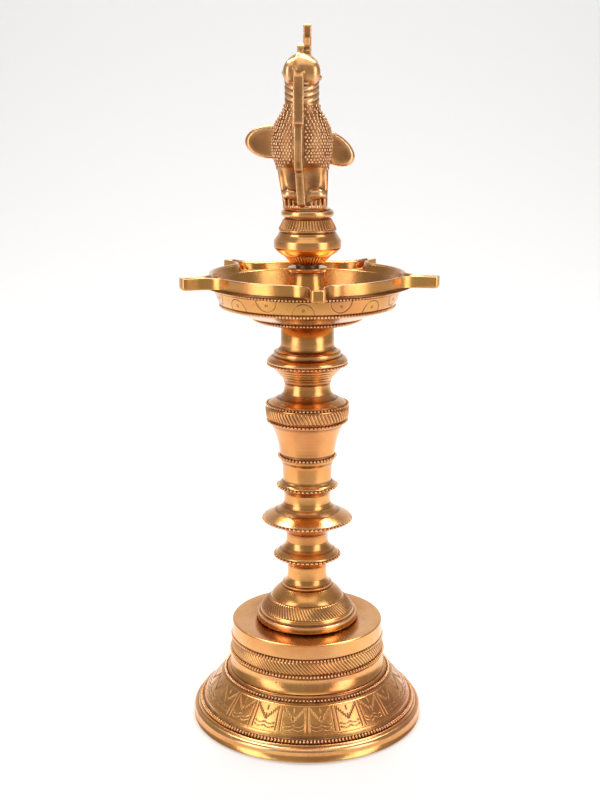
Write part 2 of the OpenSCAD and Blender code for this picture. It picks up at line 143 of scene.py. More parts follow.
class Outline:
    """A turned node's outside: heights, radii and relief.

    Relief is below 0 in a hollow and above 0 on an edge.
    """

    step = 0.05
    worn = 0.11           # how softly the corners are worn
    hollow = 0.9          # width of the neighbourhood that relief compares with
    full_relief = 0.55    # height over that neighbourhood that gives a relief of 1
    inset = 0.15          # how far inside a band its seat is measured

    def __init__(self, node):
        z, r = cad_outline(node, np.max)
        self.node = node
        self.z = np.arange(z[0], z[-1], self.step)
        sharp = np.interp(self.z, z, r)
        self.r = blurred(sharp, self.worn, self.step)
        around = blurred(sharp, self.hollow, self.step)
        self.relief = np.clip((self.r - around) / self.full_relief, -1, 1)
        self.base = node_floor(node)

    def radius(self, height):
        return np.interp(self.base + height, self.z, self.r)

    def seat(self, low, high):
        """Radii at the two ends of a band, just inside it."""
        return self.radius(low + self.inset), self.radius(high - self.inset)

    def sink(self, low, high, depth):
        """Lowers the band so that its ornament, a surface of its own, covers it."""
        inside = (self.z > self.base + low) & (self.z < self.base + high)
        at_low, at_high = self.seat(low, high)
        share = (self.z[inside] - self.base - low) / (high - low)
        self.r[inside] = at_low + (at_high - at_low) * share - depth
        self.relief[inside] = -1


# ---- A piece while it is being built ----

class Skin:
    """Points, faces and relief of one piece, gathered part by part."""

    def __init__(self):
        self.points, self.relief, self.faces = [], [], []
        self.count = 0

    def add(self, points, relief, faces):
        self.points.append(np.asarray(points, float))
        self.relief.append(np.broadcast_to(np.asarray(relief, float), (len(points),)))
        self.faces.append(np.asarray(faces, np.int64) + self.count)
        self.count += len(points)

    def rings(self, r, z, angle, relief, closed_rows=False):
        """A surface round the axis: r and z by row, or by row and column, at the angles."""
        rows, columns = grid = len(z), len(angle)
        r, z, relief = (np.broadcast_to(np.reshape(v, (rows, -1)), grid) for v in (r, z, relief))
        points = np.stack([r * np.sin(angle), -r * np.cos(angle), z], axis=-1).reshape(-1, 3)
        faces = grid_faces(rows, columns, closed_rows)
        self.add(points, relief.reshape(-1), faces)

    def copies(self, points, faces, relief, frames, places):
        """The same little shape at many places, each with its own axes."""
        moved = np.einsum("pk,nkj->npj", points, frames) + places[:, None, :]
        jumps = (np.arange(len(places)) * len(points))[:, None, None]
        all_faces = (faces[None] + jumps).reshape(-1, 4)
        self.add(moved.reshape(-1, 3), np.tile(relief, len(places)), all_faces)

    def make(self, name, material):
        points = np.concatenate(self.points) / MM
        faces = np.concatenate(self.faces)
        mesh = bpy.data.meshes.new(name)
        mesh.from_pydata(points.tolist(), [], [without_repeats(f) for f in faces.tolist()])
        mesh.update()
        values = mesh.attributes.new("relief", "FLOAT", "POINT")
        values.data.foreach_set("value", np.concatenate(self.relief).astype(np.float32))
        mesh.shade_smooth()
        piece = bpy.data.objects.new(name, mesh)
        bpy.context.scene.collection.objects.link(piece)
        piece.data.materials.append(material)
        return piece


def without_repeats(face):
    """A face whose last corner repeats its third is a triangle."""
    return face[:3] if face[2] == face[3] else face


def grid_faces(rows, columns, closed_rows=False):
    """Faces between the rows of a surface that closes on itself along each row."""
    steps_up = rows if closed_rows else rows - 1
    i, j = np.meshgrid(np.arange(steps_up), np.arange(columns), indexing="ij")
    low, high = i * columns, (i + 1) % rows * columns
    on = (j + 1) % columns
    return np.stack([low + j, low + on, high + on, high + j], -1).reshape(-1, 4)


def round_angles(count):
    return np.arange(count) * FULL / count


def stand_for(piece, node):
    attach(piece, NODES[node]["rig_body"])
    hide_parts(node)


# ---- Ornament ----

BEAD_SUNK = 0.45        # depth of the groove that a row of beads stands in
BEAD_WIDE = 0.42        # half width of a bead, as a share of the beads' spacing
BEAD_TALL = 0.52        # half height of a bead, as a share of its row's height
BEAD_OUT = 1.6          # how far a bead bulges
BEAD_SET_IN = 0.1       # how far inside the surface its middle is
STROKE_SUNK = 0.7       # how far the ends of a stroke band dip under the surface
STROKE_WIDE = 0.2       # half width of a gouge, as a share of the gouges' spacing
ENGRAVED_SUNK = 0.8     # how far the ends of an engraved band dip under the surface
ENGRAVED_WIDE = 0.21    # half width of an engraved line
ENGRAVED_DEEP = 0.4
DARK_LINE = 1.5         # how far a gouge or a line lowers the relief


def dome(columns=10, rows=5):
    """Half an ellipsoid of radius 1 that bulges along its third axis, with relief by height."""
    tilt = np.linspace(0.06, 0.56, rows) * math.pi
    turn = round_angles(columns)
    out, high = np.sin(tilt), np.cos(tilt)
    sheets = (np.outer(out, np.cos(turn)), np.outer(out, np.sin(turn)), np.outer(high, 1 + 0 * turn))
    points = np.stack(sheets, -1).reshape(-1, 3)
    faces = grid_faces(rows, columns)[:, ::-1]
    top = len(points)
    points = np.vstack([points, [0, 0, 1]])
    here = np.arange(columns)
    beside = (here + 1) % columns
    cap = np.stack([np.full(columns, top), here, beside, beside], -1)
    relief = np.clip(points[:, 2] * 2.2 - 0.9, -1, 0.8)
    return points, np.vstack([faces, cap]), relief


def bead_row(skin, outline, low, height, count):
    """A row of beads between two heights above the node's foot."""
    at_low, at_high = outline.seat(low, low + height)
    outline.sink(low, low + height, BEAD_SUNK)
    seat = (at_low + at_high) / 2
    angle = round_angles(count)
    out = np.stack([np.sin(angle), -np.cos(angle), 0 * angle], -1)
    along = np.stack([np.cos(angle), np.sin(angle), 0 * angle], -1)
    up = np.broadcast_to([0.0, 0.0, 1.0], out.shape)
    lean = (at_high - at_low) / height
    face_out = out - lean * up
    face_out /= np.linalg.norm(face_out, axis=1)[:, None]
    face_up = np.cross(face_out, along)
    half_w = BEAD_WIDE * FULL * seat / count
    axes = (along * half_w, face_up * height * BEAD_TALL, face_out * BEAD_OUT)
    places = out * (seat - BEAD_SET_IN)[..., None] + up * (outline.base + low + height / 2)
    points, faces, relief = dome()
    skin.copies(points, faces, relief, np.stack(axes, axis=1), places)


def band_rows(outline, low, height, rows):
    """Heights and seat radii up a band."""
    share = np.linspace(0, 1, rows)
    at_low, at_high = outline.seat(low, low + height)
    return share, outline.base + low + height * share, at_low + (at_high - at_low) * share


def stroke_band(skin, outline, low, height, count, lean, depth=0.6, swell=0.35):
    """Slanted gouges side by side: lean is how many gouges one crosses from bottom to top."""
    rows, columns_each = 15, 10
    share, z, seat = band_rows(outline, low, height, rows)
    outline.sink(low, low + height, STROKE_SUNK)
    angle = round_angles(count * columns_each)
    phase = (count * angle[None, :] / FULL + lean * share[:, None]) % 1.0
    fading = np.clip(np.sin(math.pi * share) * 3, 0, 1)[:, None]
    gouge = np.exp(-((phase - 0.5) / STROKE_WIDE) ** 2) * fading
    bulge = swell * 4 * share * (1 - share)
    r = seat[:, None] + bulge[:, None] - depth * gouge
    r[[0, -1]] -= STROKE_SUNK
    skin.rings(r, z, angle, 0.3 - DARK_LINE * gouge)


def segment_distance(s, t, ends):
    """Distance from each point of a drawing to the nearest of its strokes."""
    nearest = np.full(np.broadcast(s, t).shape, 1e3)
    for (s0, t0), (s1, t1) in ends:
        ds, dt = s1 - s0, t1 - t0
        share = np.clip(((s - s0) * ds + (t - t0) * dt) / (ds * ds + dt * dt), 0, 1)
        nearest = np.minimum(nearest, np.hypot(s - s0 - share * ds, t - t0 - share * dt))
    return nearest


def arc_strokes(centre, half_w, half_h, start, stop, pieces):
    turns = np.radians(np.linspace(start, stop, pieces + 1))
    spots = [(centre[0] + half_w * math.cos(a), centre[1] + half_h * math.sin(a)) for a in turns]
    return list(zip(spots[:-1], spots[1:]))


def engraving(outline, low, height, panels, mesh_size, strokes, turn, material, slot):
    """An engraved band round a node, as a piece of its own, because its mesh is fine.

    Every panel has the same drawing: strokes(panel width, band's slant height) gives its lines.
    mesh_size is the rows up the band and the columns across one panel.
    """
    rows, columns_each = mesh_size
    share, z, _ = band_rows(outline, low, height, rows)
    seat = outline.radius(z - outline.base)
    slant = math.hypot(height, seat[-1] - seat[0])
    outline.sink(low, low + height, ENGRAVED_SUNK)
    mean = (seat[0] + seat[-1]) / 2
    panel_w = FULL * mean / panels
    s = (np.arange(columns_each) + 0.5) / columns_each * panel_w
    gap = segment_distance(s[None, :], share[:, None] * slant, strokes(panel_w, slant))
    line = np.tile(np.exp(-(gap / ENGRAVED_WIDE) ** 2), (1, panels))
    lean = (seat[0] - seat[-1]) / slant
    r = seat[:, None] - ENGRAVED_DEEP * line * height / slant
    high = z[:, None] - ENGRAVED_DEEP * line * lean
    r[[0, -1]] -= ENGRAVED_SUNK
    skin = Skin()
    skin.rings(r, high, round_angles(panels * columns_each) + turn, 0.06 - DARK_LINE * line)
    stand_for(skin.make(outline.node + "_engraving", material), outline.node)


def leaf_panel(width, height):
    """Upright lines, a V of short strokes, two strokes down its middle and two rows of scallops."""
    rail, rail_top, rail_foot = 1.4, 0.95 * height, 0.09 * height
    top_in = rail * 0.85
    strokes = [((rail, rail_foot), (top_in, rail_top)),
               ((width - rail, rail_foot), (width - top_in, rail_top))]
    middle = width / 2
    arm_strokes = 6
    for side in (-1, 1):
        for share in (i / (arm_strokes - 1) for i in range(arm_strokes)):
            s = middle + side * (width * 0.34 * (1 - share) + 0.55)
            t = height * (0.86 - 0.36 * share)
            strokes.append(((s + side * 0.1, t + 1.0), (s, t - 1.0)))
    for top, foot in ((0.9, 0.76), (0.62, 0.5)):
        strokes.append(((middle, height * top), (middle, height * foot)))
    scallops, margin = 2, 0.8
    span = (width - 2 * rail - 2 * margin) / scallops
    for row in (0.29, 0.16):
        for k in range(scallops):
            centre = (rail + margin + span * (k + 0.5), row * height + 1.6)
            strokes += arc_strokes(centre, span * 0.47, 1.7, 198, 342, 7)
    return strokes


def half_moons(width, height):
    """A half circle that hangs from the top and one that rises from the foot, ringed inside."""
    half_w, half_h, ring = 6.7, 0.82 * height, 0.75
    strokes = arc_strokes((width * 0.25, 0.02 * height), half_w, half_h, 2, 178, 20)
    strokes += arc_strokes((width * 0.75, 0.98 * height), half_w, half_h, 182, 358, 20)
    strokes += arc_strokes((width * 0.25, 0.38 * height), ring, ring, 0, 360, 8)
    strokes += arc_strokes((width * 0.75, 0.62 * height), ring, ring, 0, 360, 8)
    return strokes


# ---- Turned pieces ----

TOLERANCE = 0.012       # how closely a mesh follows its outline
TURNED_COLUMNS = 192
BORE_R = 5.0            # radius of the bores that the studs go through


def held_rows(z, r, relief):
    """Adds a row just inside both ends of each long straight stretch, so that it shades flat."""
    rows = []
    margin, long_run = 0.22, 0.9
    for i in range(len(z) - 1):
        rows.append((z[i], r[i], relief[i]))
        run = math.hypot(z[i + 1] - z[i], r[i + 1] - r[i])
        if run > long_run:
            for share in (margin / run, 1 - margin / run):
                rows.append(tuple(v[i] + (v[i + 1] - v[i]) * share for v in (z, r, relief)))
    rows.append((z[-1], r[-1], relief[-1]))
    return np.array(rows).T


def turned_body(skin, outline, inner):
    """The closed body of a turned piece; inner is its bore's outline, from the top down, as (z, r)."""
    keep = thinned(outline.z, outline.r, TOLERANCE)
    z, r, relief = held_rows(outline.z[keep], outline.r[keep], outline.relief[keep])
    lip = 0.3                     # width of the worn bevel at both ends
    foot = [(outline.z[0], r[0] - lip - 0.3, 0), (outline.z[0], r[0] - lip, 0.2)]
    head = [(outline.z[-1], r[-1] - lip, 0.2), (outline.z[-1], r[-1] - lip - 0.3, 0)]
    z[0] += lip
    z[-1] -= lip
    z = np.clip(z, z[0], z[-1])
    inner_rows = [(high, radius, -0.4) for high, radius in inner]
    loop = np.array(foot + list(zip(z, r, relief)) + head + inner_rows)
    skin.rings(loop[:, 1], loop[:, 0], round_angles(TURNED_COLUMNS), loop[:, 2], closed_rows=True)


def through_bore(outline):
    return [(outline.z[-1], BORE_R), (outline.z[0], BORE_R)]


def hollow_bore(node):
    """A hollow node's inside, from the top down."""
    z, r = cad_outline(node, np.min)
    keep = thinned(z, r, 0.05)
    return list(zip(z[keep], r[keep]))[::-1]


# Ornament of each turned node: kind, height above the node's foot, height, count and,
# for strokes and flutes, how many of them one crosses on its way up
ORNAMENT = {
    "base_skirt": [("beads", 10.4, 2.6, 196), ("leaves", 15.4, 14.5, 22),
                   ("beads", 30.7, 2.0, 150)],
    "base_drum": [("beads", 10.9, 2.4, 140), ("strokes", 13.2, 8.6, 128, 2.9),
                  ("beads", 21.6, 2.4, 140)],
    "stem_foot": [("strokes", 8.1, 7.2, 84, 2.2)],
    "stem_baluster": [("beads", 18.6, 1.9, 45), ("beads", 44.3, 1.7, 63),
                      ("beads", 67.1, 1.7, 44)],
    "stem_vase": [("beads", 2.3, 2.2, 48), ("beads", 27.0, 1.7, 63),
                  ("strokes", 29.8, 7.3, 67, 1.4), ("beads", 38.0, 1.6, 70)],
    "stem_knop": [("beads", 12.0, 1.7, 60)],
    "socket_tube": [],
    "drip_saucer": [("beads", 0.8, 1.7, 100)],
    "bowl_cone": [],
    "finial_pedestal": [("flutes", 0.4, 5.4, 44, 0), ("flutes", 22.5, 6.7, 54, 0)],
}
LEAF_MESH = (62, 66)    # rows up the band of leaves and columns across one panel


def turned_piece(node, material, slot, inner=None):
    """A turned node with its ornament; inner is its inside where that isn't a plain bore."""
    outline = Outline(node)
    skin = Skin()
    for kind, *band in ORNAMENT[node]:
        if kind == "beads":
            bead_row(skin, outline, *band)
        elif kind == "strokes":
            stroke_band(skin, outline, *band)
        elif kind == "flutes":
            stroke_band(skin, outline, *band, depth=0.65, swell=0.1)
        elif kind == "leaves":
            engraving(outline, *band, LEAF_MESH, leaf_panel, 0.0, material, slot)
    turned_body(skin, outline, inner or through_bore(outline))
    stand_for(skin.make(node + "_turned", material), node)


# ---- Bowl with its spouts ----

BOWL_R = 63.0           # radius of the rim between the spouts
SPOUTS = 5
SPOUT_TURN = math.radians(4)      # of the first spout, from the front
SPOUT_HALF_W = 4.5
SPOUT_FILLET = 14.0
TIP_ROUND = 2.4
RIM_WALL = 2.0
BAND_H = 7.5            # height of the rim band and the spouts
DISH_H = 21.0           # height of the dish below the rim band
BOWL_FLOOR = 5.0        # thickness of the dish's floor
BOWL_BORE_R = 5.4
DISH_BEADS = ((7.1, 2.3, 164), (18.1, 2.3, 172))    # height above the dish's foot, height, count
MOONS = (9.2, 9.0, 8)   # the same for the panels of half moons
MOON_MESH = (30, 180)
MOON_TURN = math.radians(-13.85)
SLOPE_IN = 2.1          # how far the rim band's inside leans in on its way down
WELL_SLOPE_R, WELL_FLOOR_R, CONE_R = 53.6, 39.0, 16.0   # foot of the well's slope, its floor, cone
WELL_CURVE_H = 4.5      # height of the curve between slope and floor
INSIDE = -0.15          # relief of the bowl's inside
QUARTER = np.radians([0, 18, 36, 54, 72, 90])


def arc_points(centre, radius, start, stop, steps):
    turns = np.linspace(start, stop, steps + 1)
    return np.stack([centre[0] + radius * np.cos(turns), centre[1] + radius * np.sin(turns)], -1)


def rim_line(reach, inset):
    """The rim's edge with its spouts, moved inwards by inset, as points round the axis."""
    across = SPOUT_HALF_W + SPOUT_FILLET
    along = math.sqrt((BOWL_R + SPOUT_FILLET) ** 2 - across ** 2)
    lean = math.atan2(across, along)
    half_w, tip, corner = SPOUT_HALF_W - inset, reach - inset, max(TIP_ROUND - inset, 0.3)
    side = arc_points((along, -across), SPOUT_FILLET + inset, math.pi - lean, math.pi / 2, 14)
    straight = np.stack([np.linspace(along, tip - corner, 8)[1:-1], np.full(6, -half_w)], -1)
    end = arc_points((tip - corner, corner - half_w), corner, -math.pi / 2, 0, 6)
    middle = np.stack([np.full(3, tip), np.linspace(corner - half_w, half_w - corner, 5)[1:-1]], -1)
    half = np.concatenate([side, straight, end])
    other = half[::-1] * [1, -1]
    step = FULL / SPOUTS
    gap = 0.02                    # angle left free at both ends, where the fillets start
    rim = arc_points((0, 0), BOWL_R - inset, lean + gap, step - lean - gap, 60)
    one = np.concatenate([half, middle, other, rim])
    line = []
    for k in range(SPOUTS):
        turn = SPOUT_TURN - math.pi / 2 + k * step
        spin = np.array([[math.cos(turn), math.sin(turn)], [-math.sin(turn), math.cos(turn)]])
        line.append(one @ spin)
    return np.concatenate(line)


def make_bowl(material):
    """The dish, its rim band and its spouts as one closed skin, with beads and engraving on it."""
    node = "oil_bowl"
    floor = node_floor(node)
    band = floor + DISH_H
    top = band + BAND_H
    channel = band + RIM_WALL         # floor of the spouts
    points = cad_points(node)
    reach = np.hypot(points[:, 0], points[:, 1]).max() - 0.12     # a hair inside the CAD's spouts
    outline = Outline(node)
    skin = Skin()
    for beads in DISH_BEADS:
        bead_row(skin, outline, *beads)
    engraving(outline, *MOONS, MOON_MESH, half_moons, MOON_TURN, material, "bowl_brass")

    edge = rim_line(reach, 0)
    inwards = rim_line(reach, 1) - edge
    angle = np.arctan2(edge[:, 0], -edge[:, 1])
    out = np.clip((np.hypot(edge[:, 0], edge[:, 1]) - BOWL_R - 2) / (reach - BOWL_R - 4), 0, 1)
    columns = len(edge)
    rows = []

    def circle(radius, height, value):
        ring = np.stack([radius * np.sin(angle), -radius * np.cos(angle), np.full(columns, height)], -1)
        rows.append((ring, np.full(columns, value)))

    def rim(inset, height, value):
        """The edge moved inwards; inset and height are one number, or one for each of its points."""
        line = edge + inwards * np.reshape(inset, (-1, 1))
        ring = np.column_stack([line, np.broadcast_to(height, columns)])
        rows.append((ring, np.full(columns, value)))

    # Outside of the dish, from the bore up to the rim band
    dish = outline.z < band - 0.05
    z, r, relief = outline.z[dish], outline.r[dish], outline.relief[dish]
    keep = thinned(z, r, TOLERANCE)
    z, r, relief = held_rows(z[keep], r[keep], relief[keep])
    circle(BOWL_BORE_R, floor, -0.5)
    circle(r[0] - 0.4, floor, 0)
    for height, radius, value in zip(np.maximum(z, floor + 0.2), r, relief):
        circle(radius, height, value)
    circle(BOWL_R - 1.4, band - 0.02, -0.6)

    # Rim band and spouts: their underside, outside, top and inside, out being 1 at a spout's tip
    soft = 0.5 + 1.3 * out            # how round the lower edge is
    rim(np.maximum(soft, 1.1), band, 0.0)
    for turn in QUARTER:
        rim(soft * (1 - math.sin(turn)), band + soft * (1 - math.cos(turn)), 0.1)
    rim(0.0, band + soft + 0.3, 0.05)
    rim(0.0, top - 0.9, 0.1)
    outer, inner = 0.55, 0.5          # how round the upper edges are
    for turn in QUARTER[::-1]:
        rim(outer * (1 - math.sin(turn)), top - outer * (1 - math.cos(turn)), 0.5)
    rim(0.8, top, 0.35)
    for turn in QUARTER:
        rim(RIM_WALL - inner * (1 - math.sin(turn)), top - inner * (1 - math.cos(turn)), 0.5)
    slope = SLOPE_IN - 1.8 * out      # nearly upright in a spout
    for share in (0.06, 0.3, 0.6, 0.85, 0.94):
        rim(RIM_WALL + slope * share, top - (top - channel) * share, INSIDE)
    rim(RIM_WALL + slope, channel + 0.12 * out, INSIDE)
    rim(RIM_WALL + slope + 0.35 * out, channel, INSIDE)

    # The well: its edge, its slope, the curve into its floor and the seat of the cone
    well_r = BOWL_R - RIM_WALL - SLOPE_IN - 0.05
    share = np.linspace(0, 1, 24)[1:]
    start_r, start_z = well_r - 0.35, channel - 0.7
    end_z = floor + BOWL_FLOOR + WELL_CURVE_H
    well = [(well_r - 0.06, channel - 0.1), (start_r, start_z)]
    well += [(start_r - (start_r - WELL_SLOPE_R) * t, start_z - (start_z - end_z) * t) for t in share]
    well += [(WELL_SLOPE_R - (WELL_SLOPE_R - WELL_FLOOR_R) * t, end_z - WELL_CURVE_H * (1 - (1 - t) ** 2))
             for t in share]
    well += [(CONE_R, floor + BOWL_FLOOR), (BOWL_BORE_R, floor + BOWL_FLOOR)]
    for radius, height in well:
        circle(radius, height, INSIDE)

    ring_points = np.concatenate([p for p, _ in rows])
    ring_relief = np.concatenate([v for _, v in rows])
    skin.add(ring_points, ring_relief, grid_faces(len(rows), columns, closed_rows=True))
    stand_for(skin.make("oil_bowl_spouted", material), node)


# ---- Bird ----
# It is shaped as a field that is below 0 inside the bird, in millimetres above its plinth,
# and that field's surface is then meshed. x is its width and -y its front.

BIRD_STEP = 0.55        # spacing of the field's grid
BIRD_LOW = np.array([-38.5, -27.5, -1.0])           # corner of the grid
BIRD_SIZE = np.array([77.0, 68.0, 115.5])
BIRD_LIFT = 0.02        # how far the bird's underside is above its plinth's foot
GARLAND_X = -2.4        # middle of the garland down the breast
BODY_R = 19             # half width of the body, beyond which a wing starts
DOTS_BACK = 17          # how far back the dots go, in y


def ellipsoid(p, centre, radii):
    scaled = [(axis - c) / r for axis, c, r in zip(p, centre, radii)]
    near = np.sqrt(sum(v * v for v in scaled)) + 1e-6
    slope = np.sqrt(sum((v / r) ** 2 for v, r in zip(scaled, radii))) + 1e-6
    return near * (near - 1) / slope


def tilted_ellipsoid(p, centre, radii, lean, sweep):
    """lean turns it about y, in degrees, and sweep about z."""
    x, y, z = (axis - c for axis, c in zip(p, centre))
    a, b = math.radians(sweep), math.radians(lean)
    x, y = x * math.cos(a) + y * math.sin(a), y * math.cos(a) - x * math.sin(a)
    x, z = x * math.cos(b) + z * math.sin(b), z * math.cos(b) - x * math.sin(b)
    return ellipsoid((x, y, z), (0, 0, 0), radii)


def limb(p, start, end, r_start, r_end):
    """A tapering rod with round ends."""
    along = np.subtract(end, start)
    share = sum((axis - s) * d for axis, s, d in zip(p, start, along)) / float(along @ along)
    share = np.clip(share, 0, 1)
    gap = np.sqrt(sum((axis - s - share * d) ** 2 for axis, s, d in zip(p, start, along)))
    return gap - (r_start + (r_end - r_start) * share)


def leaf(p, middle, half_w, spine, dish=0.0):
    """A flat shape round a spine of (y, z, radius) points, 2 half_w wide in x, its front dished."""
    x, y, z = p
    across = np.abs(x - middle)
    near = np.full(y.shape, 1e3, y.dtype)
    for (y0, z0, r0), (y1, z1, r1) in zip(spine[:-1], spine[1:]):
        dy, dz = y1 - y0, z1 - z0
        share = np.clip(((y - y0) * dy + (z - z0) * dz) / (dy * dy + dz * dz), 0, 1)
        gap = np.hypot(y - y0 - share * dy, z - z0 - share * dz)
        near = np.minimum(near, gap - r0 - (r1 - r0) * share)
    near = near - dish * np.clip(across / half_w, 0, 1) ** 2
    rounding = 0.5
    side, face = across - half_w + rounding, near + rounding
    outside = np.hypot(np.maximum(side, 0), np.maximum(face, 0))
    return outside + np.minimum(np.maximum(side, face), 0) - rounding


def merged(a, b, blend):
    mix = np.clip(0.5 + 0.5 * (b - a) / blend, 0, 1)
    return b + (a - b) * mix - blend * mix * (1 - mix)


def carved(a, b, blend):
    return -merged(-a, b, blend)


def bird_trunk(p):
    """Body and rump, over plumage that widens upwards from the plinth."""
    x, y, z = p
    body = ellipsoid(p, (0, -3, 41.5), (19.0, 16, 22.5))
    rump = ellipsoid(p, (0, 12, 40), (14, 15, 14))
    wide = 13.2 + 0.11 * z
    skirt = (np.sqrt((x / wide) ** 2 + ((y + 1.5) / (wide - 2.2)) ** 2) - 1) * (wide - 2.2)
    skirt = np.maximum(np.maximum(skirt, z - 34), 1.0 - z)
    return merged(merged(body, rump, 5), skirt, 4)


def with_legs(body, p):
    """On each side a hollow, a shin, an ankle and four toes; the left and right shins differ."""
    for side in (-1, 1):
        body = carved(body, ellipsoid(p, (side * 6.2, -17.5, 18.5), (8.2, 6.8, 9.5)), 3.0)
        shin_r = 1.4 + 0.3 * side
        shin = limb(p, (side * 14.2, -6.0, 27), (side * 12.6, -8.0, 3), shin_r + 0.3, shin_r)
        body = merged(body, shin, 2.2)
        body = merged(body, ellipsoid(p, (side * 7.3, -9.5, 9.6), (6.2, 4.8, 3.6)), 1.6)
        for toe in range(4):
            spot = side * (4.2 + 2.75 * toe)
            body = merged(body, limb(p, (spot, -10.5, 5.4), (spot, -13.6, 1.8), 1.15, 1.25), 0.35)
    return body


def with_neck(body, p):
    """Shoulders and a neck with five rings, which lie lower in front."""
    x, y, z = p
    low, high, pitch = 65.4, 83.4, 3.6
    tilt = z - 0.45 * (y + 4)
    ring = np.abs((tilt - low) % pitch - pitch / 2) / (pitch / 2)
    swell = 2.0 * np.sqrt(np.clip(1 - ring ** 2, 0, 1)) - 1.0
    collar = np.where((tilt > low) & (tilt < high), swell, 0)
    neck = np.maximum(np.maximum(np.hypot(x, y + 4) - 10.0 - collar, 50 - z), z - 84)
    shoulders = limb(p, (0, -2.5, 50), (0, -4, 61.5), 15.2, 11.2)
    return merged(merged(body, shoulders, 3), neck, 0.8)


def bird_head(p):
    """Skull, two unequal cheeks, two eyes and the root of the beak."""
    head = ellipsoid(p, (0, -4, 84), (11.4, 13.2, 11))
    for centre, radii, blend in (((-7.4, -10.2, 83.4), (4.4, 5.6, 7.2), 1.6),
                                 ((5.9, -10.8, 83.2), (5.5, 5.8, 7.6), 1.6),
                                 ((-11.3, -8.0, 83), (1.2, 1.8, 1.8), 0.5),
                                 ((11.2, -8, 80), (1.2, 1.8, 1.8), 0.5)):
        head = merged(head, ellipsoid(p, centre, radii), blend)
    return merged(head, limb(p, (-2.2, -9, 92.5), (-2.2, -14.6, 84), 2.3, 2.6), 1.2)


def with_beak(body, p):
    """The long beak, the garland that hangs from it and the garland's tassel."""
    beak = leaf(p, -2.2, 3.3, [(-14.2, 86, 1.0), (-17.4, 80, 1.9), (-20.3, 72, 1.7), (-22.4, 60, 1.5),
                               (-22.6, 54, 2.1)], 0.45)
    garland = leaf(p, -2.4, 2.6, [(-21.8, 54, 1.2), (-21.2, 42, 1.4), (-18.6, 29, 1.4),
                                  (-17.9, 25.6, 1.9)], 0.4)
    tassel = leaf(p, -2.2, 2.6, [(-17.4, 21.4, 1.9), (-16.8, 17, 1.4), (-14.4, 4, 1.4)], 0.4)
    body = merged(body, beak, 0.5)
    body = merged(body, np.minimum(garland, tassel), 0.3)
    return merged(body, limb(p, (-2.3, -17.2, 26), (-2.3, -16.8, 21), 1.1, 1.1), 0.3)


def bird_crests(p):
    """A small crest in front of a taller one, whose front and sides are notched."""
    front = leaf(p, -0.8, 2.1, [(-6, 92, 4.2), (-5, 97, 3.2), (-4, 99.0, 1.9)])
    rear = leaf(p, 3.3, 2.5, [(3, 92, 5.4), (2, 98, 4.2), (4.5, 104, 3.0), (4.2, 109.9, 2.9)])
    for notch in (97.5, 101.5, 105.5):
        rear = carved(rear, limb(p, (-3, -3.0, notch), (9, -2.0, notch + 0.5), 1.2, 1.2), 0.4)
    for notch in (100.2, 103.6, 107.0):
        rear = carved(rear, limb(p, (0.2, -9, notch), (0.2, 12, notch + 0.6), 0.75, 0.75), 0.4)
    return merged(front, rear, 0.4)


def with_wings(body, p):
    """Two unequal wings with cupped fronts, and a knob at the root of the right one."""
    for side, middle, lean, radii in ((-1, (-19.0, 7.5, 41), 0, (17.4, 4.6, 10.6)),
                                      (1, (18.0, 8.0, 37.5), -30, (17.6, 4.6, 9.6))):
        wing = tilted_ellipsoid(p, middle, radii, lean, side * 10)
        cup_middle = (middle[0] + side * 0.6, middle[1] - 4.6, middle[2] - 0.4)
        cup_radii = (radii[0] - 0.5, 3.8, radii[2] - 0.6)
        cup = tilted_ellipsoid(p, cup_middle, cup_radii, lean, side * 10)
        body = merged(body, carved(wing, cup, 0.8), 1.2)
    return merged(body, limb(p, (13.6, 1.0, 47.5), (17.4, 3.2, 44.5), 1.9, 1.2), 0.6)


def bird_plinth(p):
    """A low square plinth with round corners."""
    x, y, z = p
    half_w, height, corner = 14, 2.4, 6.0
    past_x, past_y = (np.maximum(np.abs(v) - half_w + corner, 0) for v in (x, y))
    return np.maximum(np.hypot(past_x, past_y) - corner, np.maximum(z - height, BIRD_LIFT - z))


def bird_field(p):
    body = with_neck(with_legs(bird_trunk(p), p), p)
    body = merged(body, bird_head(p), 0.6)
    body = merged(with_beak(body, p), bird_crests(p), 0.8)
    body = with_wings(body, p)
    tail = merged(limb(p, (0, 18, 38), (0, 33, 50), 9, 4.6),
                  limb(p, (0, 16, 46), (0, 30, 56), 7, 3.2), 3)
    body = merged(body, tail, 3)
    return np.maximum(merged(body, bird_plinth(p), 0.5), BIRD_LIFT - p[2])


CORNERS = [(i, j, k) for i in (0, 1) for j in (0, 1) for k in (0, 1)]
CELL_EDGES = [(a, b) for a in CORNERS for b in CORNERS
              if a < b and sum(abs(m - n) for m, n in zip(a, b)) == 1]


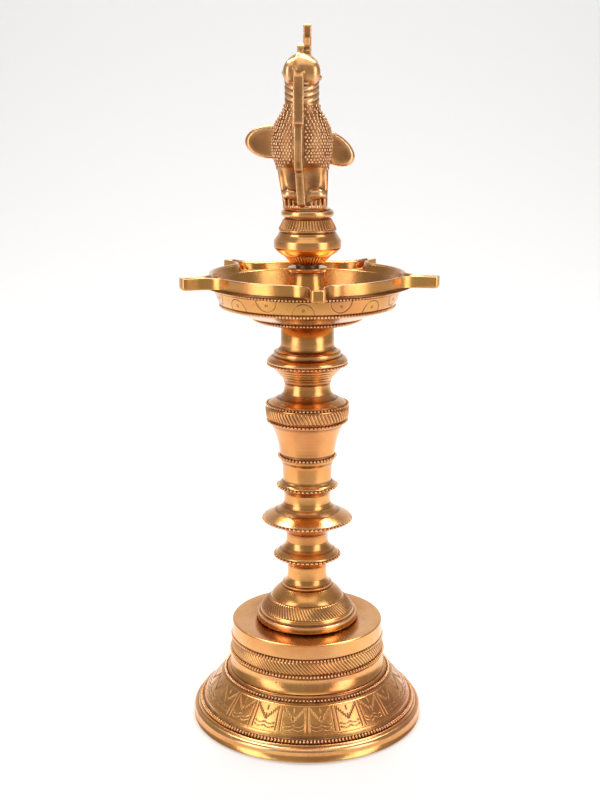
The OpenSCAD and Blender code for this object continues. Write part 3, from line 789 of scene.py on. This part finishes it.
def net_surface(field, origin, step):
    """A closed quad mesh where the field is 0: one point in each cell that it crosses."""
    inside = field < 0
    cells = tuple(n - 1 for n in field.shape)
    corner = {c: tuple(slice(d, d + n) for d, n in zip(c, cells)) for c in CORNERS}
    held = sum(inside[corner[c]].astype(np.int8) for c in CORNERS)
    active = (held > 0) & (held < 8)
    spots = np.argwhere(active)
    number = np.full(cells, -1, np.int64)
    number[active] = np.arange(len(spots))
    total = np.zeros((len(spots), 3))
    count = np.zeros(len(spots))
    for a, b in CELL_EDGES:
        at_a, at_b = field[corner[a]][active], field[corner[b]][active]
        cross = (at_a < 0) != (at_b < 0)
        share = np.where(cross, at_a / np.where(cross, at_a - at_b, 1), 0)
        total += np.where(cross, 1, 0)[:, None] * (np.array(a) + share[:, None] * np.subtract(b, a))
        count += cross
    points = origin + step * (spots + total / count[:, None])
    faces = []
    for axis in range(3):
        u, v = (axis + 1) % 3, (axis + 2) % 3
        low, high = [slice(None)] * 3, [slice(None)] * 3
        low[axis], high[axis] = slice(0, -1), slice(1, None)
        first, second = inside[tuple(low)], inside[tuple(high)]
        where = np.argwhere(first != second)
        at_u, at_v = where[:, u], where[:, v]
        where = where[(at_u > 0) & (at_v > 0) & (at_u < cells[u]) & (at_v < cells[v])]
        leaving = first[tuple(where.T)]
        ring = []
        for du, dv in ((-1, -1), (0, -1), (0, 0), (-1, 0)):
            cell = where.copy()
            cell[:, u] += du
            cell[:, v] += dv
            ring.append(number[tuple(cell.T)])
        quad = np.stack(ring, -1)
        quad[~leaving] = quad[~leaving][:, ::-1]
        faces.append(quad)
    return points, np.concatenate(faces)


def neighbour_mean(values, edges, count):
    """The mean of each point's neighbours."""
    total = np.zeros((count,) + values.shape[1:])
    np.add.at(total, edges[:, 0], values[edges[:, 1]])
    np.add.at(total, edges[:, 1], values[edges[:, 0]])
    shared = np.bincount(edges.ravel(), minlength=count)
    return total / shared.reshape((count,) + (1,) * (values.ndim - 1))


def point_normals(points, faces):
    a, b, c, d = (points[faces[:, k]] for k in range(4))
    across = np.cross(c - a, d - b)
    normal = np.zeros_like(points)
    for k in range(4):
        np.add.at(normal, faces[:, k], across)
    return normal / (np.linalg.norm(normal, axis=1)[:, None] + 1e-9)


def lean_at(z):
    """How far the casting leans towards -X at a height."""
    return -1.6 - 2.0 * np.clip(z / 30, 0, 1)


def feather_cut(points, normal):
    """Depth of the feather lines on the backs of the wings and on the tail."""
    x, y, z = points.T
    wing = np.clip((np.abs(x) - BODY_R) / 2, 0, 1) * np.clip(normal[:, 1] * 3, 0, 1)
    wing_line = np.abs(((z + 0.25 * np.abs(x)) / 3.1) % 1 - 0.5) * 2
    tail = np.clip((y - 21) / 3, 0, 1)
    tail_line = np.abs((x / np.maximum(y - 4, 4) * 8.5) % 1 - 0.5) * 2
    depth, width = 0.5, 0.22
    cut = wing * np.exp(-(wing_line / width) ** 2) + tail * np.exp(-(tail_line / width) ** 2)
    return depth * cut


def breast_dots(points, faces):
    """Raised dots in staggered rows round the breast, the flanks and the back.

    Gives one dot's points, faces and relief, then every dot's axes and place.
    """
    tree = BVHTree.FromPolygons([tuple(q) for q in points], [tuple(f) for f in faces.tolist()])
    pitch, row_pitch, low, high = 2.15, 1.9, 21.5, 63.5
    chance = np.random.default_rng(7)
    places, normals, sizes = [], [], []
    for row, z in enumerate(np.arange(low, high, row_pitch)):
        reach = 18.3 * math.sqrt(max(0.25, 1 - ((z - 40) / 22) ** 2))
        across = int(FULL * reach / pitch)
        for k in range(across):
            turn = FULL * (k + 0.5 * (row % 2)) / across
            out = Vector((math.sin(turn), -math.cos(turn), 0))
            centre = Vector((0, -1, z))
            hit, normal, _, _ = tree.ray_cast(centre + out * 60, -out)
            if hit is None or abs(hit.x) > BODY_R or hit.y > DOTS_BACK or normal.dot(out) < 0.35:
                continue
            if hit.y < -8 and abs(hit.x - GARLAND_X) < 3.7:
                continue
            size = chance.uniform(0.8, 1.08)
            lowest = 28.5 - 0.5 * max(0, abs(hit.x) - 8)
            if z < lowest + chance.uniform(-1.2, 1.2):
                continue
            places.append(hit + Vector((chance.normal(0, 0.12), 0, chance.normal(0, 0.16))))
            normals.append(normal)
            sizes.append(size)
    places, face_out = np.array(places), np.array(normals)
    along = np.cross([0, 0, 1.0], face_out)
    along /= np.linalg.norm(along, axis=1)[:, None]
    up = np.cross(face_out, along)
    axes = np.stack([along * 0.98, up * 1.04, face_out * 0.62], axis=1)
    sunk = 0.12
    return *dome(8, 4), axes * np.reshape(sizes, (-1, 1, 1)), places - face_out * sunk


def make_bird(material):
    """The bird as one mesh: its field's surface, smoothed, with feather lines and dots."""
    node = "hamsa_bird"
    counts = np.ceil(BIRD_SIZE / BIRD_STEP).astype(int)
    axes = [BIRD_LOW[i] + BIRD_STEP * np.arange(counts[i]) for i in range(3)]
    grid = np.meshgrid(*[a.astype(np.float32) for a in axes], indexing="ij")
    points, faces = net_surface(bird_field(grid), BIRD_LOW, BIRD_STEP)
    sides = np.concatenate([faces[:, [k, (k + 1) % 4]] for k in range(4)])
    edges = np.unique(np.sort(sides, axis=1), axis=0)
    for _ in range(2):
        points = points + 0.5 * (neighbour_mean(points, edges, len(points)) - points)
    normal = point_normals(points, faces)
    points = points - feather_cut(points, normal)[:, None] * normal
    hump = np.einsum("ij,ij->i", points - neighbour_mean(points, edges, len(points)), normal)
    for _ in range(3):
        hump = 0.5 * (hump + neighbour_mean(hump, edges, len(points)))
    relief = np.clip(hump / 0.035, -1, 0.7)
    skin = Skin()
    dot_points, dot_faces, dot_relief, dot_axes, dot_places = breast_dots(points, faces)
    x, y, z = points.T
    dotted = (z > 26) & (z < 64) & (np.abs(x) < BODY_R - 0.1) & (y < DOTS_BACK)
    dotted &= ~((y < -8) & (np.abs(x - GARLAND_X) < 3.4))
    relief[dotted] = np.minimum(relief[dotted], -0.7)
    # Painted shade between the legs: the relief, and with it the dark hollow colour, is lowered there; it
    # is also lowered in the wings' cupped fronts and on the crests
    between_legs = np.clip(1.3 - np.abs(z - 19.5) / 9, 0, 1) * (y < -2)
    cupped = np.clip((np.abs(x) - BODY_R) / 3, 0, 1) * np.clip(-normal[:, 1] * 2, 0, 1)
    crested = np.clip((z - 93) / 3, 0, 1)
    relief = relief - 0.3 * between_legs - 0.12 * cupped - 0.22 * crested
    skin.add(points, relief, faces)
    skin.copies(dot_points, dot_faces, dot_relief, dot_axes, dot_places)
    foot = node_floor(node)
    for block in skin.points:
        block[:, 0] += lean_at(block[:, 2])
        block[:, 2] += foot
    stand_for(skin.make("hamsa_bird_cast", material), node)


# ---- Studs ----

def threaded_stud(node, material):
    """A stud with a real helical thread where it has its thread radius, plain elsewhere."""
    pitch, depth, columns = 1.5, 0.55, 40
    z, r = cad_outline(node, np.max)
    thread_r = np.median(r)
    step = pitch / 10
    high = np.arange(z[0], z[-1], step)
    plain = np.interp(high, z, r)
    angle = round_angles(columns)
    phase = (high[:, None] / pitch - angle[None, :] / FULL) % 1.0
    cut = depth * (1 - np.abs(2 * phase - 1)) ** 0.8
    threaded = np.minimum(plain[:, None], thread_r - cut)
    shoulder = plain > thread_r + 0.2
    radius = np.where(shoulder[:, None], plain[:, None], threaded)
    relief = np.where(shoulder[:, None], 0.0, 0.3 - 1.6 * cut)
    ends = np.full((1, columns), 0.3)
    skin = Skin()
    skin.rings(np.vstack([ends, radius, ends]), np.concatenate([[high[0]], high, [high[-1]]]), angle,
               np.vstack([0 * ends, relief, 0 * ends]), closed_rows=True)
    stand_for(skin.make(node + "_threaded", material), node)


# ---- Brass ----

class Shader:
    """A material's nodes, with short calls to place and join them."""

    def __init__(self, name):
        self.material = bpy.data.materials.new(name)
        self.material.use_nodes = True
        self.tree = self.material.node_tree
        self.surface = self.tree.nodes["Principled BSDF"]

    def node(self, kind, **settings):
        made = self.tree.nodes.new(kind)
        for key, value in settings.items():
            if key in made.inputs:
                made.inputs[key].default_value = value
            else:
                setattr(made, key, value)
        return made

    def join(self, value, socket):
        """Feeds a socket from another node's output, a number or a colour."""
        if isinstance(value, tuple):
            socket.default_value = (*value, 1)
        elif isinstance(value, (int, float)):
            socket.default_value = value
        else:
            self.tree.links.new(value, socket)

    def place(self, stretch=(1, 1, 1)):
        mapping = self.node("ShaderNodeMapping", Scale=stretch)
        self.join(self.node("ShaderNodeTexCoord").outputs["Object"], mapping.inputs["Vector"])
        return mapping.outputs["Vector"]

    def noise(self, scale, detail=4, rough=0.55, stretch=(1, 1, 1)):
        made = self.node("ShaderNodeTexNoise", Scale=scale, Detail=detail, Roughness=rough)
        self.join(self.place(stretch), made.inputs["Vector"])
        return made.outputs["Fac"]

    def ramp(self, value, low, high, to_low=0.0, to_high=1.0):
        made = self.node("ShaderNodeMapRange", clamp=True)
        for number, given in enumerate((value, low, high, to_low, to_high)):
            self.join(given, made.inputs[number])
        return made.outputs["Result"]

    def math(self, kind, a, b):
        made = self.node("ShaderNodeMath", operation=kind)
        self.join(a, made.inputs[0])
        self.join(b, made.inputs[1])
        return made.outputs[0]

    def mix(self, share, a, b):
        made = self.node("ShaderNodeMix", data_type="RGBA")
        for value, number in ((share, 0), (a, 6), (b, 7)):      # the colour sockets are 6 and 7
            self.join(value, made.inputs[number])
        return made.outputs[2]


BLUSH = (0.74, 0.27, 0.13)      # of the reddish patches
WORN_EDGE = (0.95, 0.60, 0.36)


def brass(name, bright, warm, recess, red=0.35, rough=0.2, pits=0.5, turned=True, stained=0.3):
    """Old polished brass: two drifting tones, red patches, worn edges, dark hollows and tool lines."""
    s = Shader(name)
    relief = s.node("ShaderNodeAttribute", attribute_name="relief").outputs["Fac"]
    drift = s.ramp(s.noise(26, 5), 0.36, 0.66)
    colour = s.mix(drift, bright, warm)
    blush = s.math("MULTIPLY", s.ramp(s.noise(17, 3, 0.4), 0.55, 0.7), red)
    colour = s.mix(blush, colour, BLUSH)
    edge = s.math("MULTIPLY", s.ramp(relief, 0.15, 0.8), s.ramp(s.noise(90, 3), 0.35, 0.6, 0.15, 0.75))
    colour = s.mix(edge, colour, WORN_EDGE)
    mottle = s.ramp(s.noise(140, 6, 0.7), 0.3, 0.75, 0.4, 1.0)
    # Dark hollow colour by relief: patina in the grooves, and painted shade where the bird's relief is
    # lowered between its legs.
    dirt_and_shade = s.math("MULTIPLY", s.ramp(relief, -0.05, -0.5), mottle)
    speck = s.ramp(s.noise(520, 2, 0.6), 0.69, 0.76, 0.0, pits)
    patch = s.ramp(s.noise(46, 4, 0.75), 0.62, 0.8, 0.0, stained)
    spots = s.math("MULTIPLY", speck, s.ramp(s.noise(60, 3), 0.42, 0.62))
    dark = s.math("MAXIMUM", s.math("MAXIMUM", dirt_and_shade, spots), patch)
    dark.node.use_clamp = True
    colour = s.mix(dark, colour, recess)
    s.join(colour, s.surface.inputs["Base Color"])
    s.surface.inputs["Metallic"].default_value = 1.0
    s.surface.inputs["Coat Weight"].default_value = 0.3
    s.surface.inputs["Coat Roughness"].default_value = 0.12
    wipe = s.noise(75, 5, 0.6)
    base_rough = s.ramp(wipe, 0.3, 0.7, rough - 0.06, rough + 0.10)
    s.join(s.math("ADD", base_rough, s.math("MULTIPLY", dark, 0.26)), s.surface.inputs["Roughness"])
    if turned:
        lines = s.noise(1.0, 3, 0.6, (60, 60, 5200))
    else:
        lines = s.noise(900, 4, 0.6)
    grain = s.node("ShaderNodeBump", Strength=0.10, Distance=0.0002)
    s.join(lines, grain.inputs["Height"])
    dents = s.node("ShaderNodeBump", Strength=0.22, Distance=0.0006)
    s.join(s.noise(55, 3, 0.5), dents.inputs["Height"])
    s.join(grain.outputs["Normal"], dents.inputs["Normal"])
    pit = s.node("ShaderNodeBump", Strength=0.5, Distance=0.0003, invert=True)
    s.join(spots, pit.inputs["Height"])
    s.join(dents.outputs["Normal"], pit.inputs["Normal"])
    s.join(pit.outputs["Normal"], s.surface.inputs["Normal"])
    return s.material


# ---- Stage ----

def floor_painted_shade(name):
    """Pale paper with painted shade: toned down in a wedge in front of the lamp, which its brass mirrors
    as a darker middle, and far in front.
    """
    s = Shader(name)
    apart = s.node("ShaderNodeSeparateXYZ")
    s.join(s.place(), apart.inputs[0])
    shaded_tone, pale = 0.46, 0.84
    # Painted shade: the paper darkens in front of the lamp and far off, and stays pale in two patches to
    # the sides, where the softboxes' light falls.
    ahead = s.ramp(apart.outputs["Y"], -0.36, -0.15, shaded_tone, pale)
    far = s.ramp(apart.outputs["Y"], -2.6, -1.1, pale, shaded_tone)
    wedge = s.math("MULTIPLY", apart.outputs["Y"], 0.72)
    aside = s.math("ADD", s.math("ABSOLUTE", apart.outputs["X"], 0), wedge)
    tone = s.math("MAXIMUM", s.math("MAXIMUM", ahead, far), s.ramp(aside, -0.06, 0.14, 0.0, pale))
    s.join(s.mix(tone, (0, 0, 0), (1.0, 1.0, 1.0)), s.surface.inputs["Base Color"])
    s.surface.inputs["Roughness"].default_value = 0.9
    s.surface.inputs["Specular IOR Level"].default_value = 0.1
    return s.material


def make_stage():
    """A pale floor that curves up into a backdrop behind the lamp."""
    half_w, front, back, bend, wall = 9.0, -9.0, 1.5, 0.6, 3.2
    turns = np.linspace(0, math.pi / 2, 13)
    side = [(front, 0.0)] + [(back + bend * math.sin(a), bend - bend * math.cos(a)) for a in turns]
    side.append((back + bend, wall))
    points = [(x, y, z) for y, z in side for x in (-half_w, half_w)]
    faces = [(2 * i, 2 * i + 1, 2 * i + 3, 2 * i + 2) for i in range(len(side) - 1)]
    mesh = bpy.data.meshes.new("floor_sweep")
    mesh.from_pydata(points, [], faces)
    mesh.shade_smooth()
    floor = bpy.data.objects.new("floor_sweep", mesh)
    floor.data.materials.append(floor_painted_shade("floor_painted_shade"))
    bpy.context.scene.collection.objects.link(floor)


def softbox(name, bearing, distance, height, size, power, aim_height):
    """A rectangular lamp aimed at the axis; bearing is in degrees from the front towards +X."""
    data = bpy.data.lights.new(name, "AREA")
    data.shape = "RECTANGLE"
    data.size, data.size_y = size
    data.energy = power
    lamp = bpy.data.objects.new(name, data)
    turn = math.radians(bearing)
    lamp.location = (distance * math.sin(turn), -distance * math.cos(turn), height)
    aim = Vector((0, 0, aim_height)) - lamp.location
    lamp.rotation_euler = aim.to_track_quat("-Z", "Y").to_euler()
    bpy.context.scene.collection.objects.link(lamp)


def make_lights():
    softbox("softbox_left", -55, 1.25, 0.55, (0.62, 1.3), 6.6, 0.24)
    softbox("softbox_right", 55, 1.25, 0.55, (0.62, 1.3), 6.4, 0.24)
    softbox("top_light", 0, 0.5, 1.9, (1.6, 1.2), 5, 0.2)
    softbox("backdrop_light", 180, 0.9, 2.4, (2.6, 0.8), 72, 1.0)
    world = bpy.data.worlds.new("studio")
    bpy.context.scene.world = world
    world.use_nodes = True
    sky = world.node_tree.nodes["Background"].inputs
    sky["Color"].default_value = (1.0, 0.97, 0.94, 1)
    sky["Strength"].default_value = 0.38
    bpy.context.scene.view_settings.view_transform = "Standard"


def make_camera():
    data = bpy.data.cameras.new("camera")
    data.lens = 58.05
    data.sensor_width = 36
    camera = bpy.data.objects.new("camera", data)
    camera.location = (-0.0048, -0.824, 0.4124)
    camera.rotation_euler = (math.radians(90 - 13.2), 0, 0)
    bpy.context.scene.collection.objects.link(camera)
    bpy.context.scene.camera = camera


# ---- The lamp ----

DARK = (0.13, 0.055, 0.028)
cast_brass = brass("cast_brass", (0.74, 0.385, 0.13), (0.60, 0.25, 0.088), (0.15, 0.055, 0.03),
                   rough=0.27, turned=False)
turned_brass = brass("turned_brass", (0.80, 0.405, 0.12), (0.65, 0.26, 0.075), DARK,
                     pits=0.8, stained=0.4)
bowl_brass = brass("bowl_brass", (0.73, 0.365, 0.095), (0.58, 0.245, 0.06), DARK,
                   pits=0.8, stained=0.45)
thread_brass = brass("thread_brass", (0.76, 0.48, 0.22), (0.66, 0.38, 0.16), (0.06, 0.036, 0.02),
                     rough=0.3, red=0.1)
# Painted shade: the finial's stud is coloured dark brown for the shade it stands in, inside the cone's
# cup.
dark_brass = brass("dark_brass", (0.22, 0.14, 0.09), (0.16, 0.10, 0.06), (0.04, 0.025, 0.018),
                   rough=0.42, red=0.1)

make_camera()
for shell_node in ("base_skirt", "base_drum"):
    turned_piece(shell_node, turned_brass, "turned_brass", hollow_bore(shell_node))
for turned_node in ("stem_foot", "stem_baluster", "stem_vase", "stem_knop", "socket_tube"):
    turned_piece(turned_node, turned_brass, "turned_brass")
turned_piece("drip_saucer", bowl_brass, "bowl_brass")
turned_piece("bowl_cone", bowl_brass, "bowl_brass")
turned_piece("finial_pedestal", turned_brass, "turned_brass")
make_bowl(bowl_brass)
make_bird(cast_brass)
for stud_node in ("base_stud", "stem_stud", "vase_stud", "neck_stud", "bowl_stud"):
    threaded_stud(stud_node, thread_brass)
# The finial's stud gets the painted shade of the cup it stands in.
threaded_stud("finial_stud", dark_brass)
for plain_node in ("base_washer", "base_nut"):
    NODES[plain_node].data.materials.clear()
    NODES[plain_node].data.materials.append(thread_brass)
make_stage()
make_lights()
